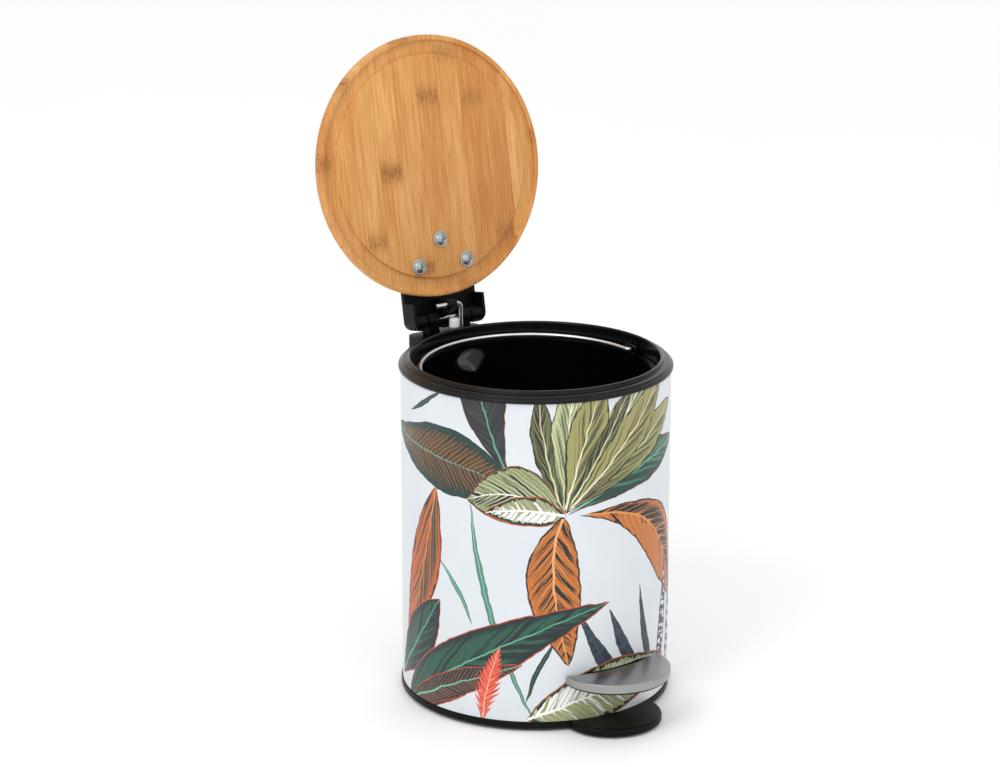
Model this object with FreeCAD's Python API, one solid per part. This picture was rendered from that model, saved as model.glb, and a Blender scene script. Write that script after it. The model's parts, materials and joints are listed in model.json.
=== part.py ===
"""Small round pedal bin with a bamboo lid, modelled open, with the pedal pressed.

Origin: centre of the footprint on the floor.  +Z up, -Y towards the pedal,
+Y towards the hinge.  All sizes are millimetres.
"""
import FreeCAD, Part
import math
import os

V = FreeCAD.Vector
X_AXIS, Y_AXIS, Z_AXIS = V(1, 0, 0), V(0, 1, 0), V(0, 0, 1)

# ---------------------------------------------------------------- driving dimensions
BODY_R = 84.0            # outside of the steel sleeve
SLEEVE_WALL = 0.8
FOOT_H = 1.5             # rubber feet lift the tray off the floor
BASE_TOP = 6.4           # shoulder the sleeve stands on
BASE_R = 84.8
FLOOR_T = 2.0            # floor of the base tray
SPIGOT_TOP = 10.4        # tray wall inside the sleeve
RIM_UNDER = 210.2        # top of the sleeve, underside of the rim flange
COLLAR_TOP = 216.8
COLLAR_IN, COLLAR_OUT = 77.0, 79.4
FLANGE_R = 85.3

HINGE_Y, HINGE_Z = 98.0, 218.5
PIN_R, PIN_HALF = 1.5, 26.5
RUN_GAP = 0.05           # radial clearance of every running fit
OPEN_DEG = 100.8         # lid opening, past upright

LID_R, LID_UNDER, LID_T = 83.5, 215.5, 8.0
LID_TOP = LID_UNDER + LID_T
GROOVE_IN, GROOVE_OUT, GROOVE_DEPTH = 71.5, 80.1, 2.2
SCREW_SPOTS = [(0.0, 47.0), (-18.5, 62.5), (18.5, 62.5)]
SCREW_R, WASHER_R, WASHER_T = 1.75, 5.2, 0.8

WIRE_R = 1.5             # push rod
ROD_X, ROD_LOW_Y, ROD_TOP_Y = 4.8, 79.0, 89.0
STUB_OPEN, STUB_SHUT = 11.3, -11.3   # rod stub height from the hinge pin, lid open and shut
STUB_END_X = -14.0
ROD_TRAVEL = STUB_OPEN - STUB_SHUT

PIVOT_Y, PIVOT_Z = -50.0, 28.0       # pedal axle
AXLE_R, AXLE_HALF = 2.0, 22.0
HOOK_Z = PIVOT_Z + ROD_TRAVEL / 2.0  # hook of the rod with the lid open
PEDAL_TOP, PEDAL_HALF, PEDAL_FRONT, PEDAL_BACK_R = 37.4, 35.0, -117.0, 87.4

BUCKET_BOTTOM, BUCKET_TOP, BUCKET_R_LOW, BUCKET_R_TOP, BUCKET_WALL = 45.0, 206.0, 64.0, 73.4, 1.4
BAIL_R, BAIL_WIRE, BAIL_Z, BAIL_TILT = 71.6, 1.1, 208.2, 1.2

DAMPER_X, DAMPER_Y, DAMPER_TOP = -0.6, 88.2, 220.5
DAMPER_R, STEM_R = 4.0, 1.6
EAR_IN, EAR_OUT, EAR_R = 8.0, 16.0, 4.9          # fixed hinge knuckles
KNUCKLE_IN, CHEEK_OUT, KNUCKLE_R = 17.2, 27.5, 4.5   # knuckles of the lid bracket
HOUSING_HALF, HOUSING_REAR, HOUSING_LOW, HOUSING_TOP = 26.0, 106.0, 148.0, 209.4


# ---------------------------------------------------------------- helpers
def cyl(radius, height, base=(0, 0, 0), direction=Z_AXIS):
    return Part.makeCylinder(radius, height, V(*base), direction)


def block(x0, x1, y0, y1, z0, z1):
    return Part.makeBox(x1 - x0, y1 - y0, z1 - z0, V(x0, y0, z0))


def turned(profile):
    """Solid of revolution about Z from (radius, height) points."""
    points = [V(r, 0, z) for r, z in profile]
    face = Part.Face(Part.makePolygon(points + points[:1]))
    return face.revolve(V(0, 0, 0), Z_AXIS, 360)


def side_plate(outline, x0, x1):
    """Plate from a (y, z) outline, between two X positions."""
    points = [V(x0, y, z) for y, z in outline]
    face = Part.Face(Part.makePolygon(points + points[:1]))
    return face.extrude(V(x1 - x0, 0, 0))


def mirrored(shape):
    return shape.mirror(V(0, 0, 0), X_AXIS)


def pair(shape):
    return [shape, mirrored(shape)]


def fuse(shapes):
    first, rest = shapes[0], list(shapes[1:])
    return first.multiFuse(rest).removeSplitter() if rest else first


def round_edges(shape, radius, test):
    """Fillet the edges whose midpoint passes the test."""
    chosen = []
    for edge in shape.Edges:
        first, last = edge.ParameterRange
        if test(edge.valueAt((first + last) / 2.0), edge):
            chosen.append(edge)
    return shape.makeFillet(radius, chosen) if chosen else shape


def bent_wire(points, radius, bend):
    """Round wire through the points, with a tangent arc at each corner."""
    corners = [V(*p) for p in points]
    edges, start = [], corners[0]
    for before, corner, after in zip(corners, corners[1:], corners[2:]):
        arrive = (corner - before).normalize()
        leave = (after - corner).normalize()
        turn = arrive.getAngle(leave)
        trim = bend * math.tan(turn / 2.0)
        first, last = corner - arrive * trim, corner + leave * trim
        inward = (leave - arrive).normalize()
        middle = corner + inward * (bend / math.cos(turn / 2.0) - bend)
        edges.append(Part.LineSegment(start, first).toShape())
        edges.append(Part.Arc(first, middle, last).toShape())
        start = last
    edges.append(Part.LineSegment(start, corners[-1]).toShape())
    return swept(edges, radius, corners[0], corners[1] - corners[0])


def swept(edges, radius, start, direction):
    section = Part.Wire([Part.Circle(start, direction, radius).toShape()])
    return Part.Wire(edges).makePipeShell([section], True, False)


def opened(shape):
    """Swing a piece of the closed lid to its open rest position."""
    shape.rotate(V(0, HINGE_Y, HINGE_Z), X_AXIS, -OPEN_DEG)
    return shape


def axle_hole(radius):
    return cyl(radius, 200, (-100, PIVOT_Y, PIVOT_Z), X_AXIS)


# ---------------------------------------------------------------- base
def tongue():
    """Flat rounded foot under the pedal."""
    half_width, centre_y, reach = 31.0, -82.0, 29.5
    outline = Part.Ellipse(V(0, centre_y, FOOT_H), half_width, reach).toShape()
    plate = Part.Face(Part.Wire([outline])).extrude(V(0, 0, BASE_TOP - FOOT_H))
    plate = round_edges(plate, 1.6, lambda p, e: p.z > BASE_TOP - 0.01)
    return round_edges(plate, 0.9, lambda p, e: p.z < FOOT_H + 0.01)


def base_tray():
    floor_top = FOOT_H + FLOOR_T
    spigot_out = BODY_R - SLEEVE_WALL - 0.05
    wall_in = spigot_out - 2.4
    tray = turned([(0, FOOT_H), (BASE_R - 1.0, FOOT_H), (BASE_R, FOOT_H + 1.0), (BASE_R, BASE_TOP - 0.6),
                   (BASE_R - 0.6, BASE_TOP), (spigot_out, BASE_TOP), (spigot_out, SPIGOT_TOP),
                   (wall_in, SPIGOT_TOP), (wall_in, floor_top), (0, floor_top)])
    well = cyl(wall_in, 50, (0, 0, floor_top))
    post = block(12.0, 17.0, PIVOT_Y - 6, PIVOT_Y + 6, floor_top - 0.5, PIVOT_Z)
    post = post.fuse(cyl(6.0, 5.0, (12.0, PIVOT_Y, PIVOT_Z), X_AXIS))
    tray = fuse([tray, tongue().cut(well)] + pair(post))
    return tray.cut(axle_hole(AXLE_R))


def rubber_feet():
    """Anti-slip ring under the tray, and a small pad under the tongue."""
    ring_in, ring_out, pad_r, pad_y = 70.0, 76.0, 4.5, -98.0
    ring = cyl(ring_out, FOOT_H).cut(cyl(ring_in, FOOT_H))
    return Part.makeCompound([ring, cyl(pad_r, FOOT_H, (0, pad_y, 0))])


def sleeve():
    """Printed steel tube, slotted for the pedal arm and open behind for the rod."""
    height = RIM_UNDER - BASE_TOP
    tube = cyl(BODY_R, height, (0, 0, BASE_TOP)).cut(cyl(BODY_R - SLEEVE_WALL, height, (0, 0, BASE_TOP)))
    pedal_slot = block(-11.5, 11.5, -BODY_R - 5, -BODY_R + 15, 22.6, 35.2)
    rod_window = block(-16.5, 8.5, BODY_R - 15, BODY_R + 5, 150.0, RIM_UNDER + 1)
    tube = tube.cut(pedal_slot).cut(rod_window)
    for screw in housing_screw_shanks():
        tube = tube.cut(screw)
    return tube


# ---------------------------------------------------------------- rim
def rim_ring():
    spigot_out, spigot_in = BODY_R - SLEEVE_WALL - 0.05, 80.8
    ledge_z = 200.2
    ring = turned([(FLANGE_R, RIM_UNDER), (FLANGE_R, RIM_UNDER + 1.7), (FLANGE_R - 0.7, RIM_UNDER + 2.4),
                   (83.6, RIM_UNDER + 2.6), (83.6, RIM_UNDER + 3.3), (82.9, RIM_UNDER + 4.0),
                   (COLLAR_OUT + 0.3, RIM_UNDER + 4.2), (COLLAR_OUT, RIM_UNDER + 4.6),
                   (COLLAR_OUT, COLLAR_TOP - 0.9), (COLLAR_OUT - 0.7, COLLAR_TOP),
                   (COLLAR_IN + 0.6, COLLAR_TOP), (COLLAR_IN, COLLAR_TOP - 0.7), (COLLAR_IN, ledge_z),
                   (74.6, ledge_z), (74.6, ledge_z - 2.0), (COLLAR_OUT, ledge_z - 2.0),
                   (COLLAR_OUT, RIM_UNDER - 1.4), (spigot_in, RIM_UNDER - 1.4), (spigot_in, RIM_UNDER - 6.0),
                   (spigot_out, RIM_UNDER - 6.0), (spigot_out, RIM_UNDER)])
    rear_notch = block(-17.0, 9.0, 60, 100, 190, 230).cut(cyl(COLLAR_OUT, 60, (0, 0, 180)))
    return ring.cut(rear_notch)


# ---------------------------------------------------------------- hinge, fixed side
def housing_screw_shanks(radius=1.6, near=BODY_R - SLEEVE_WALL - 0.01, length=9.0):
    shanks = []
    for z in (158.0, 199.0):
        for angle in (-14.0, 14.0):
            shank = cyl(radius, length, (0, near, z), Y_AXIS)
            shank.rotate(V(0, 0, 0), Z_AXIS, angle)
            shanks.append(shank)
    return shanks


def housing_screws():
    head_t, inside = 1.8, BODY_R - SLEEVE_WALL
    heads = housing_screw_shanks(3.0, inside - head_t - 0.1, head_t)
    shanks = housing_screw_shanks(1.6, inside - 0.11, 9.0)
    return Part.makeCompound([fuse([h, s]) for h, s in zip(heads, shanks)])


def hinge_ear():
    neck = block(EAR_IN, EAR_OUT, 94.0, 101.4, HOUSING_TOP - 2.0, HINGE_Z)
    return neck.fuse(cyl(EAR_R, EAR_OUT - EAR_IN, (EAR_IN, HINGE_Y, HINGE_Z), X_AXIS))


def hinge_housing():
    wall = 2.0
    outer = block(-HOUSING_HALF, HOUSING_HALF, 70, HOUSING_REAR, HOUSING_LOW, HOUSING_TOP)
    outer = round_edges(outer, 5.0, lambda p, e: p.y > HOUSING_REAR - 0.01 and abs(p.x) > HOUSING_HALF - 0.01
                        and HOUSING_LOW < p.z < HOUSING_TOP)
    inner = block(-HOUSING_HALF + wall, HOUSING_HALF - wall, 60, HOUSING_REAR - wall,
                  HOUSING_LOW + wall, HOUSING_TOP - wall)
    top_well = block(-16.5, 8.5, 60, 92.6, HOUSING_TOP - wall - 1, HOUSING_TOP + 1)
    lug_notch = block(-6.3, 0.3, 60, 96.8, HOUSING_TOP - wall - 1, HOUSING_TOP + 1)
    bosses = pair(block(15.0, HOUSING_HALF - wall + 0.1, 70, 91.0, HOUSING_LOW + 1, HOUSING_TOP - 1))
    cradle = block(DAMPER_X - 6.0, ROD_X - 2.2, 84, HOUSING_REAR - 1, 156.0, 166.0)
    body = outer.cut(inner)
    body = fuse([body, cradle] + bosses + pair(hinge_ear()))
    body = body.cut(cyl(BODY_R + 0.05, 100, (0, 0, HOUSING_LOW - 5)))
    body = body.cut(top_well).cut(lug_notch)
    body = body.cut(cyl(FLANGE_R + 0.2, 40, (0, 0, RIM_UNDER - 1.5)))
    body = body.cut(cyl(DAMPER_R, 60, (DAMPER_X, DAMPER_Y, 158.0)))
    body = body.cut(cyl(PIN_R, 80, (-40, HINGE_Y, HINGE_Z), X_AXIS))
    for shank in housing_screw_shanks():
        body = body.cut(shank)
    return body


def hinge_pin():
    return cyl(PIN_R, 2 * PIN_HALF, (-PIN_HALF, HINGE_Y, HINGE_Z), X_AXIS)


def damper_body():
    bore = cyl(STEM_R + RUN_GAP, 40, (DAMPER_X, DAMPER_Y, 164.0))
    return cyl(DAMPER_R, 36.0, (DAMPER_X, DAMPER_Y, 158.0)).cut(bore)


def damper_plunger():
    head_h, stem_end = 6.0, 183.5
    head = cyl(3.3, head_h, (DAMPER_X, DAMPER_Y, DAMPER_TOP - head_h))
    head = round_edges(head, 0.8, lambda p, e: p.z > DAMPER_TOP - 0.01)
    stem = cyl(STEM_R, DAMPER_TOP - head_h - stem_end, (DAMPER_X, DAMPER_Y, stem_end))
    return head.fuse(stem)


# ---------------------------------------------------------------- rod and pedal
def push_rod():
    stub_z = HINGE_Z + STUB_OPEN
    return bent_wire([(-7.5, ROD_LOW_Y, HOOK_Z), (ROD_X, ROD_LOW_Y, HOOK_Z), (ROD_X, ROD_LOW_Y, 176.0),
                      (ROD_X, ROD_TOP_Y, 188.0), (ROD_X, ROD_TOP_Y, stub_z), (STUB_END_X, ROD_TOP_Y, stub_z)],
                     WIRE_R, 3.0)


def rod_clip():
    disc = cyl(2.8, 2.0, (-7.3, ROD_LOW_Y, HOOK_Z), X_AXIS)
    return disc.cut(cyl(WIRE_R, 4.0, (-8, ROD_LOW_Y, HOOK_Z), X_AXIS))


def rod_guide():
    body = block(-2.0, 11.6, 76.0, 90, 96.0, 104.0).common(cyl(BODY_R - SLEEVE_WALL - 0.03, 20, (0, 0, 90)))
    return body.cut(cyl(WIRE_R + RUN_GAP, 20, (ROD_X, ROD_LOW_Y, 90)))


def pedal_outline(inset):
    """Face at Z = 0: elliptical front edge, hollow rear edge that follows the sleeve."""
    centre_y = -84.0
    half, reach = PEDAL_HALF - inset, centre_y - PEDAL_FRONT - inset
    oval = Part.Face(Part.Wire([Part.Ellipse(V(0, centre_y, 0), half, reach).toShape()]))
    body_side = Part.Face(Part.Wire([Part.Circle(V(0, 0, 0), Z_AXIS, PEDAL_BACK_R + inset * 0.3).toShape()]))
    behind = Part.Face(Part.makePolygon([V(-60, centre_y + 3.4, 0), V(60, centre_y + 3.4, 0), V(60, 0, 0),
                                         V(-60, 0, 0), V(-60, centre_y + 3.4, 0)]))
    return oval.cut(body_side).cut(behind).Faces[0]


def pedal_cover():
    thick, depth = 1.0, 5.2
    shell = pedal_outline(0).extrude(V(0, 0, depth))
    shell = round_edges(shell, 1.2, lambda p, e: p.z > depth - 0.01 and p.y < -87.5)
    shell = shell.cut(pedal_outline(thick).extrude(V(0, 0, depth - thick)))
    shell.translate(V(0, 0, PEDAL_TOP - depth))
    return shell


def pedal_lever():
    """Plastic lever: pad under the steel cover, arm through the slot, long arm to the rod."""
    pad_under, pad_top, half = 30.9, PEDAL_TOP - 1.0, 10.0
    pad = pedal_outline(1.1).extrude(V(0, 0, pad_top - pad_under))
    pad.translate(V(0, 0, pad_under))
    front = side_plate([(-100, pad_under + 0.5), (-100, pad_under - 1.5), (-90, 24.4), (-52, 24.4),
                        (-46, 28.6), (-84, 28.6), (-88.5, 29.4), (-89.5, pad_under + 0.5)], -half, half)
    hub = cyl(5.6, 2 * half, (-half, PIVOT_Y, PIVOT_Z), X_AXIS)
    rear = side_plate([(PIVOT_Y, PIVOT_Z - 5.0), (72, HOOK_Z - 3.6), (81.7, HOOK_Z - 3.2),
                       (81.7, HOOK_Z + 3.0), (72, HOOK_Z + 4.2), (PIVOT_Y, PIVOT_Z + 5.0)], -5.0, 1.8)
    rib = side_plate([(PIVOT_Y, PIVOT_Z - 1.5), (68, HOOK_Z - 2.6), (68, HOOK_Z + 0.4),
                      (PIVOT_Y, PIVOT_Z + 1.5)], -8.5, 5.5)
    slot_in, slot_out, slot_r = ROD_LOW_Y - 0.7, ROD_LOW_Y + 0.1, WIRE_R + 0.3
    slot = [cyl(slot_r, 40, (-20, slot_in, HOOK_Z), X_AXIS),
            cyl(slot_r, 40, (-20, slot_out, HOOK_Z), X_AXIS),
            block(-20, 20, slot_in, slot_out, HOOK_Z - slot_r, HOOK_Z + slot_r)]
    lever = fuse([pad, front, hub, rear, rib])
    for cutter in slot:
        lever = lever.cut(cutter)
    return lever.cut(axle_hole(AXLE_R + RUN_GAP))


def pedal_axle():
    return cyl(AXLE_R, 2 * AXLE_HALF, (-AXLE_HALF, PIVOT_Y, PIVOT_Z), X_AXIS)


def axle_retainers():
    cap = cyl(4.0, 2.2, (17.3, PIVOT_Y, PIVOT_Z), X_AXIS).cut(axle_hole(AXLE_R))
    return Part.makeCompound(pair(cap))


# ---------------------------------------------------------------- bucket
def bucket():
    """Tapered liner: turned-down lip, a boss at the back that clears the damper, two bail lugs."""
    low, top, wall = BUCKET_R_LOW, BUCKET_R_TOP, BUCKET_WALL
    lip_r, lip_in, lip_low, lip_edge = 76.5, 75.2, 200.4, 0.8
    chamfer, far = 2.0, 90.0
    shell = turned([(0, BUCKET_BOTTOM), (low - chamfer, BUCKET_BOTTOM), (low, BUCKET_BOTTOM + chamfer),
                    (top, BUCKET_TOP - 4.0), (lip_in, BUCKET_TOP - 2.0), (lip_in, lip_low), (lip_r, lip_low),
                    (lip_r, BUCKET_TOP - lip_edge), (lip_r - lip_edge, BUCKET_TOP),
                    (top - wall, BUCKET_TOP), (low - wall, BUCKET_BOTTOM + 2.6),
                    (low - wall - chamfer, BUCKET_BOTTOM + wall), (0, BUCKET_BOTTOM + wall)])

    boss_r, boss_y, boss_low, boss_h = 14.0, 80.5, 140.0, 60.0
    boss_top, cap_low = BUCKET_TOP - 3.0, BUCKET_TOP - 4.4
    foot = V(0, boss_y, boss_low)
    boss = cyl(boss_r, boss_h, tuple(foot)).fuse(Part.makeSphere(boss_r, foot))
    boss = boss.common(turned([(0, 60), (top + 1, 60), (top + 1, boss_top), (0, boss_top)]))
    hollow_r, under = boss_r - wall, boss_low - 2
    hollow = cyl(hollow_r, boss_h + 2, (0, boss_y, under)).fuse(Part.makeSphere(hollow_r, foot))
    hollow = hollow.common(cyl(far, cap_low - under, (0, 0, under)))
    cap = cyl(boss_r, wall, (0, boss_y, cap_low)).common(cyl(top, boss_h, (0, 0, boss_low)))

    lug_in, lug_out, lug_half, lug_top = 73.3, 76.2, 5.5, BUCKET_TOP + 5.2
    lug = block(lug_in, lug_out, -lug_half, lug_half, BUCKET_TOP - 1.0, lug_top)
    lug = round_edges(lug, 2.4, lambda p, e: p.z > lug_top - 0.1 and abs(p.y) > lug_half - 0.1)
    shell = fuse([fuse([shell, boss]).cut(hollow), cap] + pair(lug))
    return shell.cut(cyl(BAIL_WIRE + RUN_GAP, 2 * far, (-far, 0, BAIL_Z), X_AXIS))


def bail_handle():
    """Wire half-hoop lying at the back, its ends turned out into the bucket lugs."""
    end_x, bend, overlap = 75.6, 1.5, 0.04
    tilt = math.radians(BAIL_TILT)

    def place(x, y):
        return V(x, y * math.cos(tilt), BAIL_Z + y * math.sin(tilt))

    arc_angle = math.asin((bend + 1.0) / BAIL_R)
    edges = []
    for side in (1, -1):
        turn_in = place(side * (BAIL_R + bend - overlap), 0)
        sag = bend * (1 - math.sin(math.pi / 4))
        middle = place(side * (BAIL_R + sag - overlap), sag)
        turn_out = place(side * (BAIL_R - overlap), bend)
        start = place(side * BAIL_R * math.cos(arc_angle), BAIL_R * math.sin(arc_angle))
        run = [Part.LineSegment(place(side * end_x, 0), turn_in).toShape(),
               Part.Arc(turn_in, middle, turn_out).toShape(), Part.LineSegment(turn_out, start).toShape()]
        edges += run if side > 0 else run[::-1]
        if side > 0:
            other = place(-BAIL_R * math.cos(arc_angle), BAIL_R * math.sin(arc_angle))
            edges.append(Part.Arc(start, place(0, BAIL_R), other).toShape())
    return swept(edges, BAIL_WIRE, V(end_x, 0, BAIL_Z), V(-1, 0, 0))


# ---------------------------------------------------------------- lid (drawn closed, then opened)
def lid_panel():
    panel = cyl(LID_R, LID_T, (0, 0, LID_UNDER))
    panel = round_edges(panel, 2.6, lambda p, e: p.z > LID_TOP - 0.01)
    panel = round_edges(panel, 1.2, lambda p, e: p.z < LID_UNDER + 0.01)
    low = (0, 0, LID_UNDER)
    panel = panel.cut(cyl(GROOVE_OUT, GROOVE_DEPTH, low).cut(cyl(GROOVE_IN, GROOVE_DEPTH, low)))
    for x, y in SCREW_SPOTS:
        panel = panel.cut(cyl(SCREW_R + 0.2, LID_T, (x, y, LID_UNDER)))
    return opened(panel)


def lug_slot():
    """Path of the rod's stub through the lug as the lid swings, with clearance."""
    steps, radius = 12, WIRE_R + 0.35
    spots = []
    for i in range(steps + 1):
        swing = math.radians(OPEN_DEG * i / steps)
        y = ROD_TOP_Y - HINGE_Y
        z = STUB_SHUT + (STUB_OPEN - STUB_SHUT) * i / steps
        spots.append((HINGE_Y + y * math.cos(swing) - z * math.sin(swing),
                      HINGE_Z + y * math.sin(swing) + z * math.cos(swing)))
    return fuse([cyl(radius, 12, (-9, y, z), X_AXIS) for y, z in spots])


def lid_hinge_bracket():
    plate_t, wall, rear = 3.0, 2.0, HINGE_Y + 5.5
    skirt_low = HINGE_Z - 5.0
    top = block(-CHEEK_OUT, CHEEK_OUT, 74.0, rear, LID_TOP, LID_TOP + plate_t)
    saddle = Part.makePolygon([V(-25, 76, LID_TOP), V(-14, 37, LID_TOP), V(14, 37, LID_TOP),
                               V(25, 76, LID_TOP), V(-25, 76, LID_TOP)])
    saddle = Part.Face(saddle).extrude(V(0, 0, plate_t))
    box = block(-CHEEK_OUT, CHEEK_OUT, 85.4, rear, skirt_low, LID_TOP + plate_t)
    box = round_edges(box, 6.0, lambda p, e: p.y > rear - 0.01 and abs(p.x) > CHEEK_OUT - 0.01)
    hollow = block(-CHEEK_OUT + wall, CHEEK_OUT - wall, 60, rear - wall, skirt_low - 5, LID_TOP)
    top = top.cut(block(-60, 60, 85.4, 200, 200, 260))
    knuckle = cyl(KNUCKLE_R, CHEEK_OUT - KNUCKLE_IN - 0.5, (KNUCKLE_IN, HINGE_Y, HINGE_Z), X_AXIS)
    web = block(KNUCKLE_IN, CHEEK_OUT - 1, HINGE_Y - 1.5, HINGE_Y + 1.5, HINGE_Z, LID_TOP + 0.5)
    lug = side_plate([(85.8, 211.0), (86.2, 204.2), (88.0, 203.0), (91.5, 203.0), (95.8, 211.5),
                      (95.8, LID_TOP + 1), (85.8, LID_TOP + 1)], -5.5, -0.5)
    body = fuse([box.cut(hollow), top, saddle, lug] + pair(knuckle) + pair(web))
    for notch in pair(block(EAR_IN - 0.7, EAR_OUT + 0.7, HINGE_Y - 9, rear + 1, 200, LID_TOP)):
        body = body.cut(notch)
    bore_half = PIN_HALF + 0.3
    bore = cyl(PIN_R + RUN_GAP, 2 * bore_half, (-bore_half, HINGE_Y, HINGE_Z), X_AXIS)
    body = body.cut(bore).cut(lug_slot())
    for x, y in SCREW_SPOTS:
        body = body.cut(cyl(SCREW_R, plate_t - 0.6, (x, y, LID_TOP)))
    return opened(body)


def lid_screw(x, y):
    head_r, head_h, recess = 4.1, 2.3, 1.2
    top = LID_UNDER - WASHER_T
    dome_r = (head_r ** 2 + head_h ** 2) / (2 * head_h)
    head = Part.makeSphere(dome_r, V(x, y, top + dome_r - head_h))
    head = head.common(cyl(head_r, head_h, (x, y, top - head_h)))
    shank = cyl(SCREW_R, LID_TOP + 2.2 - top, (x, y, top))
    screw = head.fuse(shank)
    low = top - head_h
    for half_x, half_y in ((2.3, 0.45), (0.45, 2.3)):
        screw = screw.cut(block(x - half_x, x + half_x, y - half_y, y + half_y, low, low + recess))
    return screw


def lid_screws():
    return opened(Part.makeCompound([lid_screw(x, y) for x, y in SCREW_SPOTS]))


def lid_washers():
    rings = []
    for x, y in SCREW_SPOTS:
        ring = cyl(WASHER_R, WASHER_T, (x, y, LID_UNDER - WASHER_T))
        rings.append(ring.cut(cyl(SCREW_R, WASHER_T, (x, y, LID_UNDER - WASHER_T))))
    return opened(Part.makeCompound(rings))


PIECES = [base_tray, rubber_feet, sleeve, rim_ring, hinge_housing, housing_screws, hinge_pin,
          damper_body, damper_plunger, push_rod, rod_clip, rod_guide, pedal_lever, pedal_cover,
          pedal_axle, axle_retainers, bucket, bail_handle, lid_panel, lid_hinge_bracket,
          lid_screws, lid_washers]


def build():
    os.makedirs("parts", exist_ok=True)
    for make in PIECES:
        shape = make()
        name = make.__name__
        shape.exportStep(f"parts/{name}.step")
        box = shape.BoundBox
        print(f"{name:18s} valid={shape.isValid()} solids={len(shape.Solids)} "
              f"vol={shape.Volume / 1000:8.2f} cm3 x {box.XMin:.1f}..{box.XMax:.1f} "
              f"y {box.YMin:.1f}..{box.YMax:.1f} z {box.ZMin:.1f}..{box.ZMax:.1f}")


build()
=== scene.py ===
"""Pedal bin with an open bamboo lid: finished pieces and materials round the CAD frame.

All lengths in the file are millimetres unless a name says otherwise; MM turns them into metres.
The lid's pieces are drawn closed and then swung open about the hinge pin.
"""
import json
import math

import bmesh
import bpy
from bpy.props import FloatProperty, FloatVectorProperty, PointerProperty
from mathutils import Matrix, Vector


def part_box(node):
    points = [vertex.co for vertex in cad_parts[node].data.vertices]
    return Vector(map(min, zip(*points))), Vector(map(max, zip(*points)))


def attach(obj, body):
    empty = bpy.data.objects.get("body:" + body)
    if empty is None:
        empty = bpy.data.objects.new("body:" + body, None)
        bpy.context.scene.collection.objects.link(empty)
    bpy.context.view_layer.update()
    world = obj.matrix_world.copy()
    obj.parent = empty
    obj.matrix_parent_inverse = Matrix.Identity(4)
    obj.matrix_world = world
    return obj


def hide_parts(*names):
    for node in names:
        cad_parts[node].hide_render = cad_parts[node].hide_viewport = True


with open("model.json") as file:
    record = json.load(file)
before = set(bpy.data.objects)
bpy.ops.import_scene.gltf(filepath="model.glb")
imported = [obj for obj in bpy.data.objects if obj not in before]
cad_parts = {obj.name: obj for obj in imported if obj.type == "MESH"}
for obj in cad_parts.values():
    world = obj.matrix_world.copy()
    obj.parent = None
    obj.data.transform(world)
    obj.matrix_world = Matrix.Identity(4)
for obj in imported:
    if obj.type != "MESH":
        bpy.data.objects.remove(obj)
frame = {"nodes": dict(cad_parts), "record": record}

bl_info = {
    "name": "Pedal Bin",
    "version": (1, 0, 0),
    "blender": (4, 5, 0),
    "location": "3D View > Sidebar > Pedal Bin",
    "description": "Finishes a small pedal bin with a printed sleeve and a bamboo lid",
    "category": "Add Mesh",
}

MM = 0.001
BODY_R = 84.0
SLEEVE_LOW, SLEEVE_TOP, SLEEVE_WALL = 6.4, 210.2, 0.8
PEDAL_SLOT = (-11.5, 11.5, 22.6, 35.2)      # left, right, low and high edges of the two openings
ROD_WINDOW = (-16.5, 8.5, 150.0, SLEEVE_TOP - 0.01)
CUT_REACH = 40.0                            # how far to each side of an opening its cuts run
FLANGE_R, SPIGOT_R, LEDGE_R = 85.3, 80.8, 74.6
SPIGOT_DEEP, LEDGE_TOP, LEDGE_T = 6.0, 200.2, 2.0
COLLAR_IN, COLLAR_OUT, COLLAR_TOP = 77.0, 79.4, 216.8
NOTCH_LEFT, NOTCH_RIGHT = -17.0, 9.0        # gap at the back of the rim for the hinge housing
LID_R, LID_UNDER, LID_TOP = 83.5, 215.5, 223.5
GROOVE_IN, GROOVE_OUT, GROOVE_DEPTH = 71.5, 80.1, 2.2
SCREW_SPOTS = [(0.0, 47.0), (-18.5, 62.5), (18.5, 62.5)]
HEAD_R, HEAD_H, SHANK_R, WASHER_R, WASHER_T = 4.1, 2.3, 1.7, 5.2, 0.8
CROSS_REACH, CROSS_HALF, CROSS_DEEP = 2.3, 0.5, 1.1
PEDAL_TOP, PEDAL_HALF, PEDAL_MIDDLE, PEDAL_REACH, PEDAL_BACK_R = 37.4, 35.0, -84.0, 33.0, 87.4
PEDAL_DEPTH, PEDAL_WALL, PEDAL_LIP, PEDAL_TUCK = 5.2, 1.0, 1.2, 3.4
BUCKET_LOW, BUCKET_TOP, BUCKET_R_LOW, BUCKET_R_TOP, BUCKET_WALL = 45.0, 206.0, 64.0, 73.4, 1.4
BUCKET_LIP_R, BUCKET_LIP_LOW = 76.5, 200.4
BOSS_HALF, BOSS_FOOT, BOSS_DEEP = math.radians(13.5), 132.0, 6.8
BAIL_R, BAIL_WIRE, BAIL_Z, BAIL_TILT = 71.6, 1.1, 208.2, math.radians(1.2)
ROD_R, ROD_BEND, ROD_X, HOOK_Y, STUB_Y, HOOK_END, STUB_END = 1.5, 3.0, 4.8, 79.0, 89.0, -7.5, -14.0
KINK_LOW, KINK_HIGH = 176.0, 188.0          # heights where the rod steps outwards
PIN_R = 1.48
DULL_PARTS = {"base_tray", "lid_hinge_bracket", "hinge_housing", "damper_body"}
PRINT_MAP = "print"
STRIP, NODE_GAP = 16.5, 150.0               # width of a bamboo strip, distance between its joints
BEVEL = {"offset_type": "OFFSET", "affect": "EDGES", "profile": 0.5, "material": -1}
WELD = 1e-7                                 # metres
HINGE = Vector((0, 98.0, 218.5)) * MM
OPEN_ANGLE = math.radians(-100.8)
SWING = Matrix.Translation(HINGE) @ Matrix.Rotation(OPEN_ANGLE, 4, "X") @ Matrix.Translation(-HINGE)


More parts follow.
